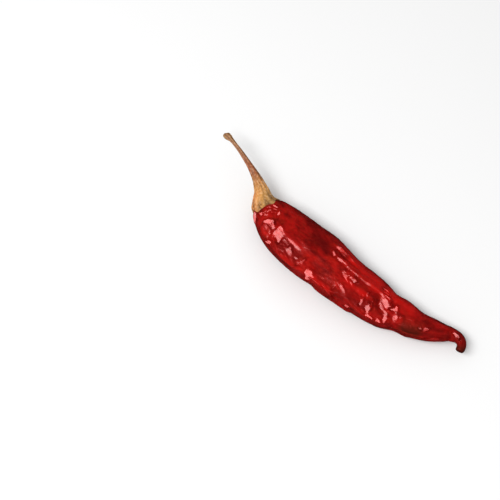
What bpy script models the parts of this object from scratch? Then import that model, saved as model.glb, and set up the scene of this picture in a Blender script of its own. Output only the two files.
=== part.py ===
"""Dried chilli pepper, lying on its flatter side: the pod, the calyx that caps it, and the stem.

Metres, +Z up. The pod's tip points along +X. The origin is on the surface that the chilli
lies on, under the middle of its bounding box.
"""

import math

import bmesh
import bpy
import numpy as np
from mathutils import Vector

MM = 0.001
GAP = 0.3  # millimetres between two pieces that touch

# The middle line from the stem's end to the pod's tip, in millimetres: x, y, height above the table.
# It is measured from the neck, where the calyx meets the pod.
SPINE = (
    (-30.4, 14.6, 12.2),
    (-24.7, 12.9, 12.3),
    (-17.3, 10.3, 11.7),
    (-9.9, 7.1, 10.5),
    (-4.2, 3.8, 9.2),
    (0.6, -0.1, 8.0),
    (5.6, -2.1, 7.7),
    (12.1, -3.9, 7.1),
    (20.3, -5.2, 6.9),
    (33.7, -5.9, 6.6),
    (50.9, -7.0, 6.1),
    (61.0, -7.5, 5.6),
    (71.1, -6.4, 5.2),
    (79.6, -4.6, 4.8),
    (86.6, -2.1, 4.6),
    (90.5, -0.6, 4.6),
    (93.5, -0.5, 4.6),
    (95.4, -1.9, 4.5),
    (96.1, -4.9, 4.3),
)
NECK = 5  # the point of SPINE that distances are measured from

# The sections of each piece, in millimetres: distance along the middle line from the neck, half width,
# half height.
POD = (
    (GAP / 2, 4.9, 4.3),
    (1.2, 5.9, 5.1),
    (3.2, 7.2, 6.0),
    (7.5, 8.9, 6.9),
    (14.0, 10.2, 7.4),
    (21.0, 11.0, 7.5),
    (28.0, 11.3, 7.4),
    (35.0, 11.0, 7.2),
    (43.0, 10.4, 6.9),
    (52.0, 9.7, 6.5),
    (60.0, 8.8, 6.1),
    (66.5, 7.7, 5.6),
    (73.0, 6.7, 5.1),
    (79.0, 5.7, 4.5),
    (84.0, 4.7, 3.8),
    (88.5, 3.5, 3.1),
    (92.5, 2.5, 2.4),
    (95.5, 2.0, 1.9),
    (98.2, 1.7, 1.6),
    (100.2, 1.2, 1.2),
)
CALYX = (
    (-GAP / 2, 5.0, 4.4),
    (-0.8, 5.3, 4.7),
    (-1.9, 4.7, 4.2),
    (-3.8, 3.7, 3.4),
    (-6.2, 2.9, 2.75),
    (-9.0, 2.35, 2.25),
)
STEM = (
    (-9.0 - GAP, 2.3, 2.2),
    (-12.5, 1.8, 1.75),
    (-16.5, 1.3, 1.3),
    (-21.5, 1.0, 1.0),
    (-26.0, 0.85, 0.85),
    (-30.5, 0.85, 0.85),
    (-32.6, 1.2, 1.05),
    (-34.6, 1.2, 1.0),
)

# Long folds that drying leaves in the pod's skin. Each runs between two distances from the neck, in
# millimetres, and turns from one angle to another, in degrees from the +Y side over the top. Its height
# is in millimetres, with a groove below zero, and its half width is in degrees.
POD_FOLDS = (
    {"run": (28, 73), "angles": (82, 58), "height": 0.8, "half_width": 10},
    {"run": (22, 77), "angles": (58, 30), "height": -1.0, "half_width": 15},
    {"run": (9, 34), "angles": (110, 113), "height": 0.5, "half_width": 9},
    {"run": (45, 82), "angles": (106, 104), "height": -0.8, "half_width": 17},
    {"run": (28, 82), "angles": (153, 159), "height": 0.6, "half_width": 9},
    {"run": (34, 86), "angles": (133, 138), "height": -0.6, "half_width": 11},
    {"run": (12, 70), "angles": (336, 322), "height": 0.6, "half_width": 12},
)
POD_SIDES = 44
CALYX_SIDES = 36
STEM_SIDES = 16
RINGS_PER_SECTION = 4
CALYX_LOBES = 6
LOBE_DEPTH = 0.07  # share of the calyx's radius, at its rim


def smooth_rows(rows, steps):
    """The rows of a table with steps - 1 more between each two, on a Catmull-Rom curve through them."""
    rows = np.array(rows, float)
    around = np.vstack([2 * rows[0] - rows[1], rows, 2 * rows[-1] - rows[-2]])
    smooth = []
    for a, b, c, d in zip(around, around[1:], around[2:], around[3:]):
        for share in np.arange(steps) / steps:
            bend = 2 * a - 5 * b + 4 * c - d
            twist = 3 * b - 3 * c + d - a
            smooth.append(b + 0.5 * ((c - a) * share + bend * share**2 + twist * share**3))
    return np.array([*smooth, rows[-1]])


def middle_line():
    """The spine as many close points, and the distance of each from the neck."""
    steps = 24
    points = smooth_rows(SPINE, steps)
    lengths = np.linalg.norm(np.diff(points, axis=0), axis=1)
    distances = np.concatenate([[0.0], np.cumsum(lengths)])
    return points, distances - distances[NECK * steps]


def section_points(line, section, sides, offset):
    """The points of one section, square to the middle line. offset gives what each side adds outwards."""
    points, distances = line
    distance, half_width, half_height = section
    reach = 0.5
    behind, centre, ahead = (
        Vector([np.interp(distance + step, distances, points[:, axis]) for axis in range(3)])
        for step in (-reach, 0.0, reach)
    )
    forward = (ahead - behind).normalized()
    side = Vector((0, 0, 1)).cross(forward).normalized()
    upward = forward.cross(side)
    ring = []
    for number in range(sides):
        angle = math.tau * number / sides
        outwards = side * math.cos(angle) * half_width + upward * math.sin(angle) * half_height
        outwards += outwards.normalized() * offset(distance, angle, outwards.length)
        ring.append((centre + outwards) * MM)
    return ring


def extruded_ring(mesh, ring, points):
    """Extrudes a ring of vertices by its edges, and puts each new vertex at its own point."""
    edges = [mesh.edges.get((a, b)) for a, b in zip(ring, ring[1:] + ring[:1])]
    made = set(bmesh.ops.extrude_edge_only(mesh, edges=edges)["geom"])
    following = []
    for vertex, point in zip(ring, points):
        new = next(e.other_vert(vertex) for e in vertex.link_edges if e.other_vert(vertex) in made)
        new.co = point
        following.append(new)
    return following


def swept_piece(name, line, sections, sides, offset, material):
    """A closed body swept through its sections. Whatever would reach under the table lies flat on it."""
    rings = [
        section_points(line, section, sides, offset)
        for section in smooth_rows(sections, RINGS_PER_SECTION)
    ]
    for point in (point for points in rings for point in points):
        point.z = max(point.z, 0.0)
    mesh = bmesh.new()
    ring = bmesh.ops.create_circle(mesh, segments=sides, radius=MM)["verts"]
    for vertex, point in zip(ring, rings[0]):
        vertex.co = point
    mesh.faces.new(ring)
    for points in rings[1:]:
        ring = extruded_ring(mesh, ring, points)
    mesh.faces.new(ring)
    bmesh.ops.recalc_face_normals(mesh, faces=mesh.faces)
    data = bpy.data.meshes.new(name)
    mesh.to_mesh(data)
    mesh.free()
    data.shade_smooth()
    data.set_sharp_from_angle(angle=math.radians(50))
    data.materials.append(material)
    piece = bpy.data.objects.new(name, data)
    bpy.context.scene.collection.objects.link(piece)
    return piece


def pod_offset(distance, angle, _radius):
    """How far the pod's skin stands out of its plain section, for its folds."""
    out = 0.0
    for fold in POD_FOLDS:
        start, end = fold["run"]
        if not start < distance < end:
            continue
        along = (distance - start) / (end - start)
        middle = fold["angles"][0] + along * (fold["angles"][1] - fold["angles"][0])
        away = (math.degrees(angle) - middle + 180) % 360 - 180
        out += fold["height"] * math.sin(math.pi * along) * math.exp(-((away / fold["half_width"]) ** 2))
    return out


def calyx_offset(distance, angle, radius):
    """The lobes of the calyx, deepest at its rim and gone at the stem."""
    fade = 1 - distance / CALYX[-1][0]
    return radius * LOBE_DEPTH * fade * math.cos(CALYX_LOBES * angle)


def no_offset(_distance, _angle, _radius):
    """A section with nothing added to it."""
    return 0.0


def surface(name, colour, roughness):
    """A material with the piece's own colour and gloss."""
    material = bpy.data.materials.new(name)
    material.use_nodes = True
    shader = material.node_tree.nodes["Principled BSDF"]
    shader.inputs["Base Color"].default_value = (*colour, 1)
    shader.inputs["Roughness"].default_value = roughness
    shader.inputs["Metallic"].default_value = 0.0
    material.diffuse_color = (*colour, 1)
    return material


def centre_on_table(pieces):
    """Moves the pieces so that the origin is under the middle of their bounding box."""
    points = [vertex.co for piece in pieces for vertex in piece.data.vertices]
    low = Vector([min(point[axis] for point in points) for axis in range(3)])
    high = Vector([max(point[axis] for point in points) for axis in range(3)])
    for piece in pieces:
        piece.location = (-(low.x + high.x) / 2, -(low.y + high.y) / 2, -low.z)


def main():
    for old in list(bpy.data.objects):
        bpy.data.objects.remove(old)
    skin = surface("dried_skin", (0.30, 0.008, 0.006), 0.28)
    straw = surface("dried_calyx", (0.47, 0.28, 0.10), 0.7)
    woody = surface("dried_stem", (0.40, 0.21, 0.09), 0.75)
    line = middle_line()
    pod = swept_piece("pod", line, POD, POD_SIDES, pod_offset, skin)
    calyx = swept_piece("calyx", line, CALYX, CALYX_SIDES, calyx_offset, straw)
    stem = swept_piece("stem", line, STEM, STEM_SIDES, no_offset, woody)
    centre_on_table([pod, calyx, stem])


main()
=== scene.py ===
import math

import bpy
import numpy as np
from mathutils import Matrix, Vector, noise
from mathutils.geometry import interpolate_bezier


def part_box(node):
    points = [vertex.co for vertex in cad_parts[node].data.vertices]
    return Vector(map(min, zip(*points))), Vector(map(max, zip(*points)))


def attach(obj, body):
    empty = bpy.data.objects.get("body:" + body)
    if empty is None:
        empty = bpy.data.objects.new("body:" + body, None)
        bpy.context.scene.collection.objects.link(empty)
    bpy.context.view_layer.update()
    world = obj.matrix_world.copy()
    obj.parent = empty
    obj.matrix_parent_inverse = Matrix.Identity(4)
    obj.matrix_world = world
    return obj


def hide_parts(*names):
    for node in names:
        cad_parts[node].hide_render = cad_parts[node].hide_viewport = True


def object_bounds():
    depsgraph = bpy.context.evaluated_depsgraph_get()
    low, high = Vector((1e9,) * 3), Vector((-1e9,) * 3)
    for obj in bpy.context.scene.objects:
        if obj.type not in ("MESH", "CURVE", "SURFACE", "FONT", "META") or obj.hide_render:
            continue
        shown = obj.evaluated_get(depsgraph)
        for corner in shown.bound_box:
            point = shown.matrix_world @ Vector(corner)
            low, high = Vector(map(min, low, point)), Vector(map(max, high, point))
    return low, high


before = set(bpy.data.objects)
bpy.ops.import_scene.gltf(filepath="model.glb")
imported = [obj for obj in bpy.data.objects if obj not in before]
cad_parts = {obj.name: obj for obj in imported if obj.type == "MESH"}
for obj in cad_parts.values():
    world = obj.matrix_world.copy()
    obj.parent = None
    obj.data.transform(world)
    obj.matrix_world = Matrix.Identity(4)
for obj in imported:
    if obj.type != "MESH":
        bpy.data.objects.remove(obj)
cadLow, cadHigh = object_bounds()
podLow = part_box("pod")[0]
mm = 0.001

# The line the chilli grew along, from the stem's end to the tip. Points are x, y and height in mm,
# counted from the neck, which lies that far from the low corner of the pod's box.
growthLine = {
    "neckFromPodCorner": (1.81, 16.96),
    "neck": 5,  # the point that is nearest to the neck, and ends the measured stretch
    "resolution": 32,
    "measureSteps": 60,  # straight steps a span that its length is added up from
    "points": (
        (-30.4, 14.6, 12.2),
        (-24.7, 12.9, 12.3),
        (-17.3, 10.3, 11.7),
        (-9.9, 7.1, 10.5),
        (-4.2, 3.8, 9.2),
        (0.6, -0.1, 8.0),
        (5.6, -2.1, 7.7),
        (12.1, -3.9, 7.1),
        (20.3, -5.2, 6.9),
        (33.7, -5.9, 6.6),
        (50.9, -7.0, 6.1),
        (61.0, -7.5, 5.6),
        (71.1, -6.4, 5.2),
        (79.6, -4.6, 4.8),
        (86.6, -2.1, 4.6),
        (90.5, -0.6, 4.6),
        (93.5, -0.5, 4.6),
        (95.4, -1.9, 4.5),
        (96.1, -4.9, 4.3),
    ),
}


def onlySelect(piece):
    bpy.ops.object.select_all(action="DESELECT")
    piece.select_set(True)
    bpy.context.view_layer.objects.active = piece


def drawGrowthLine():
    curve = bpy.data.curves.new("growthLine", "CURVE")
    curve.dimensions = "3D"
    curve.twist_mode = "Z_UP"  # keeps every section upright along the bends
    curve.resolution_u = growthLine["resolution"]
    spline = curve.splines.new("BEZIER")
    spline.bezier_points.add(len(growthLine["points"]) - 1)
    right, back = growthLine["neckFromPodCorner"]
    for knot, (x, y, height) in zip(spline.bezier_points, growthLine["points"]):
        knot.co = (podLow.x + (x + right) * mm, podLow.y + (y + back) * mm, cadLow.z + height * mm)
        knot.handle_left_type = knot.handle_right_type = "AUTO"
    line = bpy.data.objects.new("growthLine", curve)
    bpy.context.scene.collection.objects.link(line)
    bpy.context.view_layer.update()
    return line


def lengthToNeck(line):
    knots = line.data.splines[0].bezier_points
    total = 0.0
    for a, b in zip(knots[: growthLine["neck"]], knots[1:]):
        walk = interpolate_bezier(a.co, a.handle_right, b.handle_left, b.co, growthLine["measureSteps"])
        total += sum((q - p).length for p, q in zip(walk, walk[1:]))
    return total


line = drawGrowthLine()
neckAt = lengthToNeck(line)
print("growth line drawn, neck at", round(neckAt / mm, 2), "mm")


# A straight body along X, one extrusion for each section: mm from the neck, half width, half height.
def growStraight(name, sides, sections):
    bpy.ops.object.select_all(action="DESELECT")
    allowance = 3 / (2 + math.cos(math.tau / sides))  # makes up for a subdivided ring drawing in
    x, wide, high = sections[0]
    bpy.ops.mesh.primitive_circle_add(
        vertices=sides, radius=allowance * mm, fill_type="NGON", rotation=(0, math.pi / 2, 0)
    )
    body = bpy.context.object
    body.name = body.data.name = name
    bpy.ops.object.transform_apply(location=True, rotation=True, scale=True)
    bpy.ops.object.mode_set(mode="EDIT")
    bpy.ops.mesh.select_all(action="SELECT")
    bpy.ops.transform.resize(value=(1, wide, high), center_override=(0, 0, 0))
    bpy.ops.transform.translate(value=(x * mm, 0, 0))
    for nextX, nextWide, nextHigh in sections[1:]:
        bpy.ops.mesh.extrude_region_move(TRANSFORM_OT_translate={"value": ((nextX - x) * mm, 0, 0)})
        growth = (1, nextWide / wide, nextHigh / high)
        bpy.ops.transform.resize(value=growth, center_override=(nextX * mm, 0, 0))
        x, wide, high = nextX, nextWide, nextHigh
    bpy.ops.mesh.select_all(action="SELECT")
    bpy.ops.mesh.normals_make_consistent(inside=False)
    bpy.ops.object.mode_set(mode="OBJECT")
    return body


def subdivide(piece, levels):
    onlySelect(piece)
    smooth = piece.modifiers.new("round", "SUBSURF")
    smooth.levels = smooth.render_levels = levels
    bpy.ops.object.modifier_apply(modifier=smooth.name)


def readPoints(piece, what="co"):
    values = np.empty(len(piece.data.vertices) * 3, np.float32)
    if what == "normal":
        piece.data.vertex_normals.foreach_get("vector", values)
    else:
        piece.data.vertices.foreach_get(what, values)
    return values.reshape(-1, 3).astype(float)


def writePoints(piece, places):
    piece.data.vertices.foreach_set("co", places.astype(np.float32).ravel())
    piece.data.update()


# Stores a number or a vector for each point, which the materials read by name.
def paint(piece, name, values):
    kind, field = ("FLOAT_VECTOR", "vector") if values.ndim == 2 else ("FLOAT", "value")
    layer = piece.data.attributes.new(name, kind, "POINT")
    layer.data.foreach_set(field, values.astype(np.float32).ravel())


# Smooth noise from -1 to 1 over the straight body. size is the blobs' size in mm along and across.
def mottle(places, size, seed):
    along, across = size
    seedsApart = 17.3  # blobs between one seed's noise and the next one's
    spots = places / mm / np.array([along, across, across]) + seed * seedsApart
    return np.array([noise.noise(Vector(spot)) for spot in spots])


# Noise that runs in sharp crease lines: top on a line, and falling away on both sides.
def creases(places, size, seed, top=0.5):
    return top - 2 * np.abs(mottle(places, size, seed))


# Where each point of a straight body is: mm from the neck, degrees round from +Y over the top, and mm
# of radius.
def onSkin(places):
    along = places[:, 0] / mm
    around = np.degrees(np.arctan2(places[:, 2], places[:, 1])) % 360
    radius = np.hypot(places[:, 1], places[:, 2]) / mm
    return along, around, radius


# How near each point is to a stroke over the skin: 1 on the stroke, 0 far away. The path is rows of mm
# from the neck and degrees round, and the widths are in mm to its left and to its right. A crisp stroke
# has straight flanks that meet in an edge, a round one a soft top.
def nearStroke(skin, path, widths, crisp=False):
    along, around, radius = skin
    fadeOver = 3.0  # mm at each end, or half of a shorter stroke
    far, tiny, shortest = 1e9, 1e-9, 0.01  # mm
    best = np.full(len(along), far)
    run = np.zeros(len(along))
    total = np.zeros(len(along))
    for (x0, a0), (x1, a1) in zip(path, path[1:]):
        dx, dy = x1 - x0, math.radians(a1 - a0) * radius
        px = along - x0
        py = np.radians((around - a0 + 180) % 360 - 180) * radius
        reach = np.hypot(dx, dy)
        share = np.clip((px * dx + py * dy) / np.maximum(reach**2, tiny), 0, 1)
        gap = np.hypot(px - share * dx, py - share * dy)
        gap /= np.where(dx * py - dy * px > 0, widths[0], widths[1])
        closer = gap < best
        best[closer] = gap[closer]
        run[closer] = (total + share * reach)[closer]
        total += reach
    shape = np.clip(1 - best, 0, 1) if crisp else np.exp(-(best**2))
    toEnd = np.minimum(run, total - run)
    return shape * smoothStep(toEnd / np.minimum(fadeOver, total / 2 + shortest), 0, 1)


# How far each point is from a spot on the skin: 0 in the middle, 1 at its half length and half width in
# mm. turn is in degrees from the way the pod grew towards its left.
def fromSpot(skin, x, angle, length, width, turn):
    along, around, radius = skin
    px = along - x
    py = np.radians((around - angle + 180) % 360 - 180) * radius
    c, s = math.cos(math.radians(turn)), math.sin(math.radians(turn))
    return np.hypot((px * c + py * s) / length, (py * c - px * s) / width)


def smoothStep(values, start, end):
    share = np.clip((values - start) / (end - start), 0, 1)
    return share * share * (3 - 2 * share)


def bendAlongLine(piece):
    places = readPoints(piece)
    paint(piece, "grown", places)
    places[:, 0] += neckAt
    writePoints(piece, places)
    onlySelect(piece)
    bend = piece.modifiers.new("bend", "CURVE")
    bend.object = line
    bend.deform_axis = "POS_X"
    bpy.ops.object.modifier_apply(modifier=bend.name)


def finishPiece(piece, node, material):
    piece.data.materials.clear()
    piece.data.materials.append(material)
    onlySelect(piece)
    bpy.ops.object.shade_smooth()
    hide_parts(node)
    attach(piece, "root")


def linear(colour):
    channels = [int(colour[i : i + 2], 16) / 255 for i in (1, 3, 5)]
    return [c / 12.92 if c <= 0.04045 else ((c + 0.055) / 1.055) ** 2.4 for c in channels] + [1.0]


# One node with its settings and links. A setting that names a socket is its value, or the output
# that is linked into it; any other is a property of the node.
def addNode(tree, kind, **settings):
    node = tree.nodes.new("ShaderNode" + kind)
    for key, value in settings.items():
        if hasattr(node, key):
            setattr(node, key, value)
    for key, value in settings.items():
        if hasattr(node, key):
            continue
        name = key.replace("_", " ")
        socket = node.inputs[int(key[1:])] if key[1:].isdigit() else node.inputs[name]
        if isinstance(value, bpy.types.NodeSocket):
            tree.links.new(value, socket)
        else:
            socket.default_value = linear(value) if isinstance(value, str) else value
    return node


# The pod: a closed body whose skin shrank and creased as it dried.
podShape = {
    "sides": 14,
    "levels": 4,
    "sections": (
        (-0.6, 3.5, 3.0),
        (0.4, 4.4, 3.8),
        (2.0, 5.9, 4.9),
        (4.5, 7.6, 6.3),
        (8.0, 9.0, 7.0),
        (12.5, 10.0, 7.35),
        (17.5, 10.7, 7.5),
        (22.5, 11.1, 7.5),
        (27.5, 11.3, 7.4),
        (32.5, 11.1, 7.3),
        (38.0, 10.8, 7.1),
        (43.5, 10.4, 6.9),
        (49.0, 9.9, 6.7),
        (54.5, 9.5, 6.4),
        (60.0, 8.8, 6.1),
        (65.0, 8.0, 5.7),
        (70.0, 7.2, 5.3),
        (75.0, 6.4, 4.9),
        (80.0, 5.6, 4.3),
        (84.5, 4.6, 3.7),
        (88.5, 3.5, 3.1),
        (92.0, 2.6, 2.5),
        (95.0, 2.1, 2.0),
        (97.5, 1.75, 1.7),
        (99.1, 1.75, 1.65),
        (99.9, 1.6, 1.5),
        (100.1, 1.1, 1.0),
    ),
    # how boxy the upper left of the section is: mm from the neck, and what is added to an ellipse's power
    "boxy": ((0, 0.0), (8, 0.3), (16, 0.8), (26, 1.4), (44, 1.4), (52, 0.6), (66, 0.3), (100, 0.0)),
    # wide flat facets between the folds: mm from the neck, degrees round, half length, half width, turn,
    # lean to the left, lean to the tip (degrees), and mm raised
    "facets": (
        (24.5, 140, 8.0, 5.8, 0, 12, 0, 0.1),
        (40.5, 133, 8.5, 6.2, 0, 9, 0, -0.2),
        (57.5, 138, 8.5, 4.2, 0, 11, 7, 0.35),
        (39.8, 47, 5.6, 1.4, 10, 19, 2, 0.3),
        (24.0, 60, 9.0, 4.0, 8, -17, 2, -0.3),
        (63.5, 97, 3.6, 2.8, 60, 20, -8, 0.0),
        (10.3, 143, 3.0, 2.4, 60, 36, 1, 0.0),
    ),
    # ridges (grooves below zero): path of mm from the neck and degrees round, height, half widths to the
    # left and the right, and whether the top is an edge
    "folds": (
        (
            ((38.5, 70.5), (41, 72.5), (43, 75.5), (47, 76.5), (52, 74.5), (58, 68.5), (63, 67)),
            0.54,
            (0.8, 2.4),
            True,
        ),
        (((40, 67), (43, 70), (47, 70), (50, 68)), 0.30, (0.9, 1.5), False),
        (((17.6, 117), (21.1, 118), (24, 121), (27, 122)), 0.20, (0.8, 1.6), True),
        (((2.8, 160), (3.6, 149), (4.2, 139), (5.0, 123), (5.9, 108), (6.4, 96)), 0.40, (0.7, 0.7), True),
        (((2.6, 125), (3.6, 105), (4.4, 90), (4.0, 60)), 0.35, (0.7, 0.7), True),
        (((44, 98), (48, 92), (54, 88)), 0.30, (1.4, 2.0), False),
        (((54.6, 128), (55.6, 120), (56.0, 108), (56.8, 96)), 0.25, (0.7, 0.7), True),
        (((58.2, 112), (58.9, 124), (59.4, 134), (60.2, 150)), 0.35, (0.8, 0.8), False),
        (((66.8, 126), (67.6, 138), (68.6, 150)), 0.35, (0.8, 0.8), False),
        (((70.8, 103), (71.6, 115), (72.0, 126)), 0.35, (0.8, 0.8), False),
        (((55.5, 156), (58, 162), (61, 164)), 0.35, (0.7, 0.6), True),
        (
            ((68, 160), (72.5, 162), (76.5, 164), (80.4, 162), (87.3, 158), (91.5, 161)),
            0.40,
            (0.7, 0.6),
            True,
        ),
        (((65.0, 57), (68, 51), (72, 46)), 0.4, (0.9, 1.4), False),
        (((12, 336), (30, 330), (50, 326), (70, 322)), 0.6, (1.2, 1.2), False),
        (((14, 206), (34, 212), (60, 208), (78, 206)), 0.5, (1.1, 1.1), False),
        (((36, 186), (46, 188), (56, 186)), 0.55, (4.0, 4.0), False),
        (((-1.5, 174), (2.5, 174), (7, 172)), 0.50, (2.0, 2.0), False),
        (((8, 232), (26, 224), (48, 230), (66, 222)), 0.70, (0.9, 1.6), False),
        (((20, 244), (34, 238), (52, 246), (72, 236)), 0.65, (1.4, 0.9), False),
        (((10, 352), (24, 346), (42, 350), (58, 342)), 0.45, (1.5, 0.9), False),
        (((30, 308), (48, 304), (70, 312), (84, 300)), 0.65, (0.9, 1.4), False),
    ),
    # dents: mm from the neck, degrees round, half length, half width, turn, depth
    "dents": (
        (66.4, 75, 1.4, 1.1, 0, 0.6),
        (46.0, 8, 9.0, 5.0, 0, 1.0),
        (65.5, 5, 3.0, 3.0, 0, 0.8),
        (70.5, 186, 3.5, 3.5, 0, 1.4),
        (79.0, 12, 4.0, 3.5, 0, 0.6),
        (11.5, 138, 2.0, 1.4, 30, 0.20),
        (52.0, 122, 1.5, 3.4, 0, 0.20),
        (68.4, 135, 1.2, 2.6, 0, 0.30),
        (73.0, 112, 2.0, 2.0, 0, 0.30),
    ),
    # how far the creases stray from their paths: size of a bend in mm, mm along and degrees round
    "stray": ((3, 2), 0.5, 3),
    # where the skin is slack enough to wrinkle: mm from the neck where it starts and mm until it is whole,
    # the same backwards from the tip, and the least that is left there
    "slack": {"start": 2, "startOver": 8, "end": 99, "endOver": 12, "least": 0.25},
    "rough": ((12, 8), 0.35),  # patches of rougher skin: size along and across, and how much there is of it
    "swell": ((9.0, 5.0), 0.22),  # soft unevenness: size along and across, height
    "crinkle": ((2.6, 1.8), 0.12),
    # fine gathers across the pod: where they start and end along it and round it, how far they take to
    # fade, size and height
    "gathers": {"along": (46, 70), "around": (88, 165), "fade": (8, 15), "size": (1.5, 5.0), "height": 0.12},
    "crumpleSize": (1.4, 0.9),
    "crumpleEdge": (1.3, 0.5),  # where a crumpled place starts and is whole, in shares of its half size
    # finely crumpled places: mm from the neck, degrees round, half length, half width, turn, height
    "crumpled": (
        (20.5, 156, 5.5, 3.0, 0, 0.12),
        (47.0, 105, 3.8, 2.4, 0, 0.14),
        (7.0, 100, 3.0, 4.0, 0, 0.08),
        (77.0, 135, 6.0, 4.0, 0, 0.06),
        (42.0, 20, 22.0, 4.0, 0, 0.12),
        (45.0, 240, 26.0, 6.0, 0, 0.22),
        (24.0, 288, 18.0, 6.0, 0, 0.20),
        (62.0, 320, 18.0, 5.0, 0, 0.22),
    ),
    # small taut flats that catch the light, in the same terms as the facets
    "gleams": (
        (3.3, 166, 1.9, 1.1, 30, 25, 7, 0.2),
        (4.6, 136, 0.8, 0.4, -50, 25, 8, 0.05),
        (4.3, 124, 1.7, 0.35, -80, 22, 6, 0.0),
        (5.4, 107, 1.5, 0.35, -80, 21, 4, 0.0),
        (6.8, 96, 1.3, 0.3, -75, 20, 3, 0.0),
        (5.1, 78, 1.2, 0.6, -40, 24, 2, 0.05),
        (6.0, 85, 0.9, 0.5, -40, 24, 2, 0.0),
        (8.3, 85, 1.2, 0.5, 60, 25, 0, 0.0),
        (8.6, 125, 2.2, 0.9, -52, 25, 0, 0.0),
        (10.7, 121, 0.9, 0.45, 20, 25, 0, 0.0),
        (14.1, 160, 1.8, 0.9, -54, 27, 0, 0.30),
        (15.1, 126, 2.9, 2.0, 55, 25, 0, 0.0),
        (14.3, 112, 1.3, 0.9, 0, 25, 0, 0.0),
        (16.3, 115, 1.0, 0.5, 10, 25, 0, 0.0),
        (16.8, 138, 1.4, 0.9, 55, 26, 0, 0.0),
        (22.7, 139.5, 1.6, 1.1, 50, 24, -3, 0.0),
        (26.1, 142, 0.7, 0.6, 0, 24, -3, 0.0),
        (28.4, 144, 2.0, 0.6, -65, 18, -3, 0.0),
        (34.3, 158, 2.7, 1.7, 55, 26, -3, 0.2),
        (36.3, 70.5, 1.5, 0.8, 54, 25, -4, 0.1),
        (39.4, 73.5, 1.5, 1.1, 0, 25, -4, 0.15),
        (41.6, 75, 2.4, 0.35, 12, 25, -4, 0.05),
        (38.5, 161.5, 3.2, 0.45, 4, 26, -2, 0.1),
        (43.6, 165, 2.8, 0.45, 12, 27, -3, 0.1),
        (45.6, 94, 1.2, 0.7, -20, 20, -3, 0.0),
        (44.6, 102, 1.8, 0.9, 40, 20, -3, 0.0),
        (46.9, 108, 1.6, 0.8, 70, 20, -3, 0.0),
        (48.4, 99, 1.7, 0.8, -20, 21, -3, 0.0),
        (48.8, 113, 1.3, 0.6, 30, 20, -3, 0.0),
        (44.8, 140, 1.8, 0.4, 85, 18, -5, 0.0),
        (47.5, 134.5, 1.8, 0.75, 25, 26, -5, 0.10),
        (52.7, 166, 1.5, 0.8, 0, 28, -6, 0.15),
        (56.2, 108, 1.9, 0.4, 88, 24, -9, 0.0),
        (55.8, 122, 0.9, 0.5, 60, 25, -9, 0.0),
        (56.2, 134, 1.9, 0.5, 82, 26, -10, 0.05),
        (59.5, 140, 2.3, 0.8, 82, 26, -9, 0.10),
        (59.3, 120, 1.3, 0.4, 75, 23, -9, 0.0),
        (60.8, 48, 2.0, 0.6, -8, 18, -6, 0.20),
        (61.8, 58, 1.6, 0.5, -5, 18, -6, 0.10),
        (61.4, 159, 2.0, 0.7, 0, 27, -10, 0.25),
        (64.3, 158, 1.5, 0.7, 0, 27, -11, 0.25),
        (63.1, 68, 1.8, 0.5, -5, 25, -10, 0.10),
        (63.3, 92, 1.8, 1.3, 60, 25, -11, 0.0),
        (64.7, 103, 1.6, 1.0, 30, 25, -11, 0.0),
        (62.5, 110, 1.1, 0.6, 0, 22, -11, 0.0),
        (66.0, 141, 2.2, 0.9, 80, 23, -10, 0.0),
        (67.3, 100, 1.6, 0.6, -30, 25, -11, 0.0),
        (68.4, 90, 1.5, 0.9, 70, 25, -12, 0.0),
        (69.9, 123, 1.2, 0.5, 75, 25, -12, 0.05),
        (81.0, 122, 1.7, 0.7, -20, 26, -19, 0.05),
        (79.2, 125, 0.9, 0.4, 0, 26, -18, 0.0),
        (85.0, 157, 2.8, 0.28, -6, 18, -16, 0.05),
        (93.5, 99, 2.0, 0.65, 7, 26, -12, 0.08),
        (96.6, 104, 1.3, 0.35, 0, 24, -10, 0.05),
    ),
    "facetEdge": (1.4, 0.8),  # where a facet starts and is flat, in shares of its half size
    # how uneven the edges of the small flats are: share of their half size, size, and the half width in mm
    # past which it grows no more
    "ragged": {"share": 0.25, "size": (1.2, 1.2), "upTo": 1.1},
    "grain": {"size": (1.3, 0.9), "height": 0.026, "least": 0.3},  # more of it where the skin is rough
    "settle": 0.2,  # mm over which the underside rounds off into its flat rest
}

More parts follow.
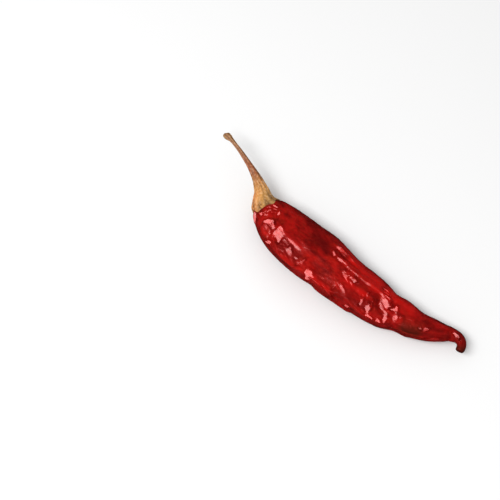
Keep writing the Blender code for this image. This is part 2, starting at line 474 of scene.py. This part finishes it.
# Where the skin's colour changes, partly as painted shade in the dark red strokes and as painted sheen in
# the bright red ones, and where it is dull: paths of mm from the neck and degrees round, and half widths
podStainsAndPaintedLight = {
    "dull": (
        (((16.5, 158), (24, 161), (33, 163)), (1.6, 2.0)),
        (((53.5, 75), (58, 70), (61.5, 67)), (1.0, 1.0)),
        (((94.5, 100), (110, 100)), (5.0, 5.0)),
        (((34, 166), (40, 163), (48, 167)), (0.7, 0.7)),
        (((25.5, 122), (29, 124), (34, 126)), (1.1, 1.6)),
        (((41, 160), (47, 150), (51, 152), (54.5, 157), (60.5, 162)), (1.2, 1.2)),
        (((70, 150), (82, 150), (90, 150)), (1.6, 2.0)),
        (((10, 150), (12, 146)), (1.6, 2.0)),
        (((69.5, 134), (73, 128), (78, 130)), (1.6, 1.6)),
    ),
    # Dark red: painted shade along the right flank, which turns away from the lamp, under the calyx's rim
    # and over the hook, and darker patches on the top.
    "maroonAndShade": (
        (((17, 26), (24, 42), (30, 62), (36, 92)), (2.2, 3.6)),
        (((6, 18), (34, 14), (60, 4), (80, 8)), (2.2, 5.0)),
        (((15.5, 134), (22, 138), (29, 150)), (2.4, 3.6)),
        (((46, 146), (53, 148), (61, 144)), (1.8, 1.8)),
        (((25, 114), (31, 106), (38, 113)), (0.9, 0.9)),
        (((30, 126), (36, 128), (42, 122)), (0.8, 0.8)),
        (((91, 90), (112, 90)), (4.0, 4.0)),
        (((79, 106), (84, 113), (90, 116)), (1.3, 1.6)),
        (((78, 136), (85, 146), (93, 138)), (1.8, 1.8)),
        (((1.5, 165), (2.5, 125), (2.6, 92)), (1.0, 1.4)),
        (((80, 40), (87, 36), (93, 30), (98, 22)), (1.0, 1.2)),
    ),
    # Bright red: partly a painted red sheen beside the highlights and along shiny ridges, partly brighter
    # skin, as on the right flap.
    "brightAndSheen": (
        (((59, 42), (68, 50), (76, 60)), (3.0, 3.0)),
        (((40, 50), (50, 48), (60, 46)), (2.8, 2.8)),
        (((44, 112), (51, 118), (58, 110)), (1.0, 1.3)),
        (((34, 22), (41, 26), (50, 30)), (2.2, 2.2)),
        (((33, 154), (38, 157), (46, 160)), (0.9, 1.2)),
        (((16, 116), (21, 118), (28, 122)), (0.7, 0.7)),
    ),
    "brown": (
        (((70.5, 150), (75.5, 148), (81.5, 145)), (2.4, 3.2)),
        (((96.7, 90), (113, 90)), (9.0, 9.0)),
        (((84, 35), (90, 30), (97, 20)), (0.8, 0.9)),
    ),
}


# Makes the upper left of the section boxier than the ellipse that it was drawn as.
def squareOff(places):
    along = places[:, 0] / mm
    rows = np.array(podShape["sections"])
    wide, high = np.interp(along, rows[:, 0], rows[:, 1]), np.interp(along, rows[:, 0], rows[:, 2])
    boxy = np.array(podShape["boxy"])
    power = 2 + np.interp(along, boxy[:, 0], boxy[:, 1])
    c, s = np.abs(places[:, 1] / mm / wide), np.abs(places[:, 2] / mm / high)
    size = np.maximum(np.hypot(c, s), 1e-6)  # never zero, in the middle of the end caps
    swell = ((c / size) ** power + (s / size) ** power + 1e-9) ** (-1 / power)
    upperLeft = (places[:, 1] < 0) & (places[:, 2] > 0)
    places[:, 1:] *= np.where(upperLeft, swell, 1.0)[:, None]
    return places


# Turns a patch of the skin into a flat facet that faces its own way.
def pressFacet(places, skin, facet, ragged=0.0):
    x, angle, length, width, turn, left, tip, raised = facet
    left, tip = math.radians(left), math.radians(tip)
    facing = np.array([math.sin(tip), -math.sin(left) * math.cos(tip), math.cos(left) * math.cos(tip)])
    away = fromSpot(skin, x, angle, length, width, turn)
    level = places[np.argmin(away)] @ facing + raised * mm
    away = away + ragged * min(1.0, podShape["ragged"]["upTo"] / width)
    pressed = smoothStep(away, *podShape["facetEdge"]) * (level - places @ facing)
    return places + facing * pressed[:, None]


# How far the skin stands out, in mm: folds and dents first, then ever finer wrinkles.
def creaseSkin(places, skin, along, around, rough):
    lift = np.zeros(len(places))
    for path, height, widths, crisp in podShape["folds"]:
        lift += height * nearStroke(skin, path, widths, crisp)
    for x, angle, length, width, turn, depth in podShape["dents"]:
        lift -= depth * np.exp(-(fromSpot(skin, x, angle, length, width, turn) ** 2))

    where = podShape["slack"]
    slack = np.clip((along - where["start"]) / where["startOver"], 0, 1)
    slack *= np.clip((where["end"] - along) / where["endOver"], where["least"], 1)
    size, height = podShape["swell"]
    lift += height * slack * mottle(places, size, seed=3)
    size, height = podShape["crinkle"]
    lift += height * slack * rough * creases(places, size, seed=4, top=0.4)

    gathers = podShape["gathers"]
    start, end = gathers["along"]
    right, left = gathers["around"]
    fadeAlong, fadeAround = gathers["fade"]
    gathered = smoothStep(along, start, start + fadeAlong) * smoothStep(along, end, end - fadeAlong)
    gathered *= smoothStep(around, right, right + fadeAround) * smoothStep(around, left, left - fadeAround)
    lift += gathers["height"] * gathered * creases(places, gathers["size"], seed=6)

    crumple = creases(places, podShape["crumpleSize"], seed=8)
    for x, angle, length, width, turn, height in podShape["crumpled"]:
        away = fromSpot(skin, x, angle, length, width, turn)
        lift += height * crumple * smoothStep(away, *podShape["crumpleEdge"])
    return lift


# Flattens what would sink into the table.
def settle(piece, softness):
    places = readPoints(piece)
    above = places[:, 2] - cadLow.z
    places[:, 2] = cadLow.z + (above + np.sqrt(above**2 + (softness * mm) ** 2)) / 2
    writePoints(piece, places)


def makePod():
    pod = growStraight("chilliPod", podShape["sides"], podShape["sections"])
    subdivide(pod, podShape["levels"])
    places = readPoints(pod)
    along, around, radius = onSkin(places)
    size, strayAlong, strayAround = podShape["stray"]
    skin = (
        along + strayAlong * mottle(places, size, seed=1),
        around + strayAround * mottle(places, size, seed=2),
        radius,
    )
    places = squareOff(places)
    for facet in podShape["facets"]:
        places = pressFacet(places, skin, facet)
    writePoints(pod, places)
    out = readPoints(pod, "normal")
    size, amount = podShape["rough"]
    rough = np.clip(mottle(places, size, seed=5) + amount, 0, 1)
    places += out * creaseSkin(places, skin, along, around, rough)[:, None] * mm
    edge = podShape["ragged"]
    ragged = edge["share"] * mottle(places, edge["size"], seed=9)
    for gleam in podShape["gleams"]:
        places = pressFacet(places, skin, gleam, ragged)
    grain = podShape["grain"]
    lift = grain["height"] * (grain["least"] + rough) * mottle(places, grain["size"], seed=7)
    places += out * lift[:, None] * mm
    writePoints(pod, places)
    for name, strokes in podStainsAndPaintedLight.items():
        paint(pod, name, np.max([nearStroke(skin, path, widths) for path, widths in strokes], axis=0))
    bendAlongLine(pod)
    settle(pod, podShape["settle"])
    return pod


# Dried chilli skin: shrunken flesh that glows red round every highlight, under a thin clear wax that
# gives the sharp pale ones.
skinLook = {
    "red": "#9C0805",
    "deepRed": "#6A0403",
    # a brighter red, used as painted sheen and as brighter skin
    "brightAndSheen": "#C80D08",
    # a dark red, used as painted shade and for darker patches
    "maroonAndShade": "#4E0405",
    "brown": "#2E1409",
    "rust": "#98220B",
    "highlight": "#FF4038",
    # patterns in the skin: mm across the pod, detail and roughness. Real pores are finer, and wouldn't show.
    "patterns": {"patches": (3.571, 4.0, 0.6), "specks": (1.333, 3.0, 0.55), "pores": (1.111, 4.0, 0.6)},
    "repeatsAlong": 0.6,  # for each one across, so that the patterns run lengthwise
    # what each pattern colours: where that starts and is whole, how strongly it covers, and the colour
    "mottling": (
        ("patches", 0.42, 0.62, 1.0, "deepRed"),
        ("specks", 0.50, 0.72, 0.36, "rust"),
        ("pores", 0.52, 0.34, 0.5, "deepRed"),
    ),
    # the stains; the dark red is partly painted shade, the bright red partly painted sheen
    "stainsAndPaintedLight": {"brightAndSheen": 0.6, "maroonAndShade": 0.65, "brown": 0.9},  # how strongly each one covers
    "ior": 1.6,
    "roughness": (0.30, 0.42),  # of the flesh, from its smoothest to its roughest pores
    "dullRoughness": 0.3,  # added where the skin is dull
    "wax": (0.42, 0.82),  # how thick the wax is over the pores
    "dullWax": 0.06,  # how much of the wax is left where the skin is dull
    "waxRoughness": 0.20,
    "poreDepth": 0.2,  # mm
}


def driedSkin():
    material = bpy.data.materials.new("driedChilliSkin")
    material.use_nodes = True
    tree = material.node_tree
    shader = tree.nodes["Principled BSDF"]
    grown = addNode(tree, "Attribute", attribute_name="grown").outputs["Vector"]
    toMm = (skinLook["repeatsAlong"] / mm, 1 / mm, 1 / mm)
    perMm = addNode(tree, "Mapping", Vector=grown, Scale=toMm).outputs[0]
    patterns = {}
    for name, (size, detail, rough) in skinLook["patterns"].items():
        pattern = addNode(tree, "TexNoise", Vector=perMm, Scale=1 / size, Detail=detail, Roughness=rough)
        patterns[name] = pattern.outputs[0]
    pores = patterns["pores"]

    colour = skinLook["red"]
    for name, start, end, cover, tint in skinLook["mottling"]:
        value = patterns[name]
        where = addNode(tree, "MapRange", Value=value, From_Min=start, From_Max=end, To_Max=cover).outputs[0]
        tint = skinLook[tint]
        colour = addNode(tree, "Mix", data_type="RGBA", Factor=where, i6=colour, i7=tint).outputs[2]
    # stains and painted light over the skin: dark red partly as painted shade, bright red partly as painted
    # sheen, and brown
    for stainAndPaintedLight, cover in skinLook["stainsAndPaintedLight"].items():
        painted = addNode(tree, "Attribute", attribute_name=stainAndPaintedLight).outputs["Fac"]
        where = addNode(tree, "Math", operation="MULTIPLY", i0=painted, i1=cover).outputs[0]
        tint = skinLook[stainAndPaintedLight]
        colour = addNode(tree, "Mix", data_type="RGBA", Factor=where, i6=colour, i7=tint).outputs[2]
    tree.links.new(colour, shader.inputs["Base Color"])

    dull = addNode(tree, "Attribute", attribute_name="dull").outputs["Fac"]
    low, high = skinLook["roughness"]
    flesh = addNode(tree, "MapRange", Value=pores, From_Min=0.3, From_Max=0.7, To_Min=low, To_Max=high)
    more = skinLook["dullRoughness"]
    flesh = addNode(tree, "Math", operation="MULTIPLY_ADD", i0=dull, i1=more, i2=flesh.outputs[0])
    tree.links.new(flesh.outputs[0], shader.inputs["Roughness"])
    low, high = skinLook["wax"]
    wax = addNode(tree, "MapRange", Value=pores, From_Min=0.35, From_Max=0.65, To_Min=low, To_Max=high)
    least = skinLook["dullWax"]
    left = addNode(tree, "MapRange", Value=dull, From_Max=0.6, To_Min=1.0, To_Max=least)
    wax = addNode(tree, "Math", operation="MULTIPLY", i0=wax.outputs[0], i1=left.outputs[0])
    tree.links.new(wax.outputs[0], shader.inputs["Coat Weight"])
    depth = skinLook["poreDepth"] * mm
    bump = addNode(tree, "Bump", Height=pores, Strength=0.5, Distance=depth).outputs[0]
    tree.links.new(bump, shader.inputs["Normal"])
    tree.links.new(bump, shader.inputs["Coat Normal"])
    shader.inputs["IOR"].default_value = skinLook["ior"]
    shader.inputs["Specular IOR Level"].default_value = 1.0
    shader.inputs["Specular Tint"].default_value = linear(skinLook["highlight"])
    shader.inputs["Coat Roughness"].default_value = skinLook["waxRoughness"]
    return material


pod = makePod()
print("pod grown and dried:", len(pod.data.polygons), "faces")

# The calyx: fused sepals, a ribbed trumpet from the stalk to a lobed rim on the pod's shoulder.
calyxShape = {
    "sides": 18,
    "levels": 3,
    "sections": (
        (0.2, 4.2, 3.8),
        (0.8, 5.5, 5.2),
        (0.7, 6.1, 5.75),
        (-0.1, 5.8, 5.35),
        (-1.2, 5.0, 4.5),
        (-2.8, 4.05, 3.7),
        (-4.6, 3.35, 3.1),
        (-6.6, 2.75, 2.6),
        (-8.6, 2.35, 2.25),
        (-10.4, 2.05, 2.0),
        (-10.7, 1.2, 1.2),
    ),
    "rim": (-4.0, 1.0),  # mm from the neck between which the cap turns into its lobed rim
    # the rim's lobes and the ribs: how many, mm they stand out and reach forward, and radians they stray
    "lobes": {"count": 5, "height": 0.25, "reach": 0.45, "stray": 0.9},
    "ribs": {"toLobe": 2, "height": 0.16, "shift": 0.6, "stray": 1.8},
    "straySize": (9, 3),
    "forward": (2.6, 1.3),  # mm that the rim reaches further over the top of the pod, and how pointedly
    "grain": (((3, 1.2), 0.12), ((2.5, 0.5), 0.05)),  # size along and across, and height
    # where the sepals are warmer and darker, and the half width there
    "tones": {
        "warm": (((-7, 175), (-2, 165), (3, 160)), 3.0),
        "shaded": (((-6, 40), (-1.5, 55), (0.3, 85), (0.7, 118)), 2.6),
    },
}


def makeCalyx():
    calyx = growStraight("chilliCalyx", calyxShape["sides"], calyxShape["sections"])
    subdivide(calyx, calyxShape["levels"])
    places, out = readPoints(calyx), readPoints(calyx, "normal")
    along, around, radius = onSkin(places)
    turn = np.radians(around)
    rim = smoothStep(along, *calyxShape["rim"])
    lobes, ribs = calyxShape["lobes"], calyxShape["ribs"]
    strayRib = ribs["stray"] * mottle(places, calyxShape["straySize"], seed=21)
    strayLobe = lobes["stray"] * mottle(places, calyxShape["straySize"], seed=22)
    rib = np.cos(turn * lobes["count"] * ribs["toLobe"] + ribs["shift"] + strayRib)
    lobe = np.cos(turn * lobes["count"] + strayLobe)
    lift = ribs["height"] * rib + lobes["height"] * rim * lobe
    for seed, (size, height) in enumerate(calyxShape["grain"], start=23):
        lift += height * mottle(places, size, seed)
    places += out * lift[:, None] * mm
    forward, pointed = calyxShape["forward"]
    overTop = np.clip(np.sin(turn), 0, 1) ** pointed
    places[:, 0] += rim * (lobes["reach"] * lobe + forward * overTop) * mm
    writePoints(calyx, places)
    # painted shade: the colour darkens between the ribs and the lobes, most at the rim
    betweenRibs, betweenLobes = 0.45 - 0.5 * rib, 0.3 - lobe
    grooveShade = betweenRibs * (0.3 + rim) + 0.4 * rim * betweenLobes  # darkest at the rim
    paint(calyx, "grooveShade", np.clip(grooveShade, 0, 1))
    for name, (path, width) in calyxShape["tones"].items():
        paint(calyx, name, nearStroke((along, around, radius), path, (width, width)))
    bendAlongLine(calyx)
    return calyx


# The stem: an angular stalk that thins away from the calyx and ends in the knob it broke off at.
stemShape = {
    "sides": 12,
    "levels": 3,
    "sections": (
        (-8.6, 1.4, 1.4),
        (-8.8, 2.28, 2.2),
        (-11.0, 2.0, 1.95),
        (-13.5, 1.65, 1.6),
        (-16.5, 1.3, 1.28),
        (-20.0, 1.08, 1.06),
        (-24.0, 0.92, 0.9),
        (-28.0, 0.82, 0.82),
        (-31.0, 0.9, 0.88),
        (-32.4, 1.2, 1.05),
        (-33.6, 1.3, 1.1),
        (-34.5, 1.15, 0.95),
        (-34.7, 0.6, 0.5),
    ),
    # lengthwise ribs: how many, radians they turn in a mm, and height as a share of the radius
    "ribs": {"count": 5, "twist": 0.06, "height": 0.06},
    "grain": ((5, 0.9), 0.06),  # size along and across, and height
    # the knob: mm from the neck where it starts, mm until it's whole, its roughness' size and height, and
    # mm that it sticks out to the left
    "knob": {"start": -31.0, "over": 2, "size": (1.2, 1.0), "height": 0.25, "lip": 0.5},
}


def makeStem():
    stem = growStraight("chilliStem", stemShape["sides"], stemShape["sections"])
    subdivide(stem, stemShape["levels"])
    places, out = readPoints(stem), readPoints(stem, "normal")
    along, around, radius = onSkin(places)
    turn = np.radians(around)
    ribs, knob = stemShape["ribs"], stemShape["knob"]
    rib = np.cos(turn * ribs["count"] + along * ribs["twist"])
    end = np.clip((knob["start"] - along) / knob["over"], 0, 1)
    size, height = stemShape["grain"]
    lift = ribs["height"] * rib * radius + height * mottle(places, size, seed=31)
    lift += end * knob["height"] * mottle(places, knob["size"], seed=32)
    lift += end * knob["lip"] * np.clip(-np.cos(turn), 0, 1)
    places += out * lift[:, None] * mm
    writePoints(stem, places)
    # painted shade, darker between the stem's ribs
    paint(stem, "grooveShade", 0.5 - 0.5 * rib)  # 0 on a rib, 1 between two
    bendAlongLine(stem)
    return stem


# Dry stalk and sepals: matte, fibrous plant matter, straw at the calyx and browner towards the stem's end,
# with painted shade in the grooves and on the sepals' shaded side.
# The real fibres are finer. These are as coarse as they need to be to show.
stalkLook = {
    "straw": "#DCA04E",
    "olive": "#96703A",
    "warm": "#D0783C",
    "shaded": "#7A5A2C",
    "brown": "#9C4F24",
    "pale": "#A57049",
    # the painted shade in the grooves
    "grooveShade": "#5A3418",
    "bleached": "#E6C09A",
    "rough": "#80502A",
    # how the colour changes towards the stem's end: mm from the neck where it starts and is whole
    "changes": ((-3, -14, "brown"), (-18, -27, "pale")),
    "streaks": 0.625,  # mm across the stalk
    "blotches": 2.5,
    "repeatsAlong": 0.15,  # streaks and blotches for each one across, so that they lie like fibres
    "flecks": 0.909,  # mm, both ways
    "fleckTones": ((0.50, 0.70, "bleached"), (0.50, 0.30, "rough")),  # where each starts and is whole
    "fleckCover": 0.5,  # how strongly the flecks colour the stalk
    "toneCover": 0.7,  # and the sepals' warm and shaded places
    "roughness": 0.62,
    "fleckHeight": 0.8,  # against the streaks
    "depth": 0.3,  # mm
}


def driedStalk(name):
    material = bpy.data.materials.new(name)
    material.use_nodes = True
    tree = material.node_tree
    shader = tree.nodes["Principled BSDF"]
    grown = addNode(tree, "Attribute", attribute_name="grown").outputs["Vector"]
    toMm = (stalkLook["repeatsAlong"] / mm, 1 / mm, 1 / mm)
    fibres = addNode(tree, "Mapping", Vector=grown, Scale=toMm).outputs[0]
    scale = 1 / stalkLook["streaks"]
    streak = addNode(tree, "TexNoise", Vector=fibres, Scale=scale, Detail=4.0, Roughness=0.6).outputs[0]
    scale = 1 / stalkLook["blotches"]
    blotch = addNode(tree, "TexNoise", Vector=fibres, Scale=scale, Detail=2.0).outputs[0]
    scale = 1 / (stalkLook["flecks"] * mm)
    flecks = addNode(tree, "TexNoise", Vector=grown, Scale=scale, Detail=3.0, Roughness=0.6).outputs[0]

    # the layers of colour over the straw, from the bottom up: the node that says where, and the colour
    layers = []
    alongLine = addNode(tree, "SeparateXYZ", Vector=grown).outputs[0]
    for start, end, tone in stalkLook["changes"]:
        layer = addNode(tree, "MapRange", Value=alongLine, From_Min=start * mm, From_Max=end * mm)
        layers.append((layer, tone))
    layers.append((addNode(tree, "MapRange", Value=blotch, From_Min=0.42, From_Max=0.7), "olive"))
    cover = stalkLook["toneCover"]
    for tone in calyxShape["tones"]:
        painted = addNode(tree, "Attribute", attribute_name=tone).outputs["Fac"]
        layers.append((addNode(tree, "Math", operation="MULTIPLY", i0=painted, i1=cover), tone))
    cover = stalkLook["fleckCover"]
    for start, end, tone in stalkLook["fleckTones"]:
        layer = addNode(tree, "MapRange", Value=flecks, From_Min=start, From_Max=end, To_Max=cover)
        layers.append((layer, tone))
    # painted shade in the grooves, streaked along the fibres
    grooveShade = addNode(tree, "Attribute", attribute_name="grooveShade").outputs["Fac"]
    streaky = addNode(tree, "MapRange", Value=streak, From_Min=0.3, From_Max=0.65).outputs[0]
    layers.append((addNode(tree, "Math", operation="MULTIPLY", i0=grooveShade, i1=streaky), "grooveShade"))
    colour = stalkLook["straw"]
    for layer, tone in layers:
        where, tint = layer.outputs[0], stalkLook[tone]
        colour = addNode(tree, "Mix", data_type="RGBA", Factor=where, i6=colour, i7=tint).outputs[2]
    tree.links.new(colour, shader.inputs["Base Color"])

    shader.inputs["Roughness"].default_value = stalkLook["roughness"]
    height, depth = stalkLook["fleckHeight"], stalkLook["depth"] * mm
    uneven = addNode(tree, "Math", operation="MULTIPLY_ADD", i0=flecks, i1=height, i2=streak).outputs[0]
    bump = addNode(tree, "Bump", Height=uneven, Strength=0.8, Distance=depth).outputs[0]
    tree.links.new(bump, shader.inputs["Normal"])
    return material


calyx = makeCalyx()
stem = makeStem()
print("calyx and stem made:", len(calyx.data.polygons), len(stem.data.polygons), "faces")

finishPiece(pod, "pod", driedSkin())
finishPiece(calyx, "calyx", driedStalk("driedSepals"))
finishPiece(stem, "stem", driedStalk("driedStalk"))
bpy.data.objects.remove(line)
print("finishes on")

# The table: matte white board.
tableLook = {"size": 3.0, "gap": 0.02, "colour": "#E6E6E6", "roughness": 0.6}  # size in m, gap in mm


def makeTable():
    bpy.ops.object.select_all(action="DESELECT")
    top = cadLow.z - tableLook["gap"] * mm
    bpy.ops.mesh.primitive_plane_add(size=tableLook["size"], location=(0, 0, top))
    table = bpy.context.object
    table.name = "table"
    material = bpy.data.materials.new("whiteBoard")
    material.use_nodes = True
    shader = material.node_tree.nodes["Principled BSDF"]
    shader.inputs["Base Color"].default_value = linear(tableLook["colour"])
    shader.inputs["Roughness"].default_value = tableLook["roughness"]
    table.data.materials.append(material)
    table.visible_glossy = False  # the skin mirrors only the lamp and the room


# Soft studio light: one long soft lamp from the left, and a pale room. The shine mirrors a dark warm room
# instead, as if dark screens stood round it, so that the skin keeps its depth. Lengths are in m, power in W.
lights = {
    "lamp": {"from": (-0.185, -0.488, 0.853), "distance": 0.9, "long": 0.75, "wide": 0.34, "power": 6.8},
    "room": "#D6D6D6",
    "mirrored": "#30100D",
}


def addLights():
    soft = lights["lamp"]
    lamp = bpy.data.lights.new("softLamp", "AREA")
    lamp.shape = "RECTANGLE"
    lamp.size = soft["long"]
    lamp.size_y = soft["wide"]
    lamp.energy = soft["power"]
    holder = bpy.data.objects.new("softLamp", lamp)
    direction = Vector(soft["from"]).normalized()
    holder.location = direction * soft["distance"]
    across = direction.cross((1, 0, 0)).normalized()  # its long side lies along the pod
    holder.rotation_euler = Matrix((across.cross(direction), across, direction)).transposed().to_euler()
    bpy.context.scene.collection.objects.link(holder)
    world = bpy.data.worlds.new("room")
    world.use_nodes = True
    tree = world.node_tree
    glossy = addNode(tree, "LightPath").outputs["Is Glossy Ray"]
    colour = addNode(tree, "Mix", data_type="RGBA", Factor=glossy, i6=lights["room"], i7=lights["mirrored"])
    tree.links.new(colour.outputs[2], tree.nodes["Background"].inputs["Color"])
    bpy.context.scene.world = world
    bpy.context.scene.view_settings.view_transform = "Standard"


# The camera looks down at the chilli with its stem up and to the left.
camera = {
    "azimuth": 37,
    "elevation": 65,
    "distance": 0.472,  # m
    "lens": 85,
    "nearest": 0.01,  # m that it starts to see at
    "aimFromPodCorner": (7.46, 0.16),  # mm
}


def addCamera():
    azimuth, elevation = math.radians(camera["azimuth"]), math.radians(camera["elevation"])
    flat = math.cos(elevation)
    back = Vector((math.sin(azimuth) * flat, -math.cos(azimuth) * flat, math.sin(elevation)))
    right, deep = camera["aimFromPodCorner"]
    aim = Vector((podLow.x + right * mm, podLow.y + deep * mm, cadLow.z))
    lens = bpy.data.cameras.new("camera")
    lens.lens = camera["lens"]
    lens.clip_start = camera["nearest"]
    holder = bpy.data.objects.new("camera", lens)
    holder.location = aim + back * camera["distance"]
    holder.rotation_euler = (-back).to_track_quat("-Z", "Y").to_euler()
    bpy.context.scene.collection.objects.link(holder)
    bpy.context.scene.camera = holder


makeTable()
addLights()
addCamera()
print("table, lights and camera set")
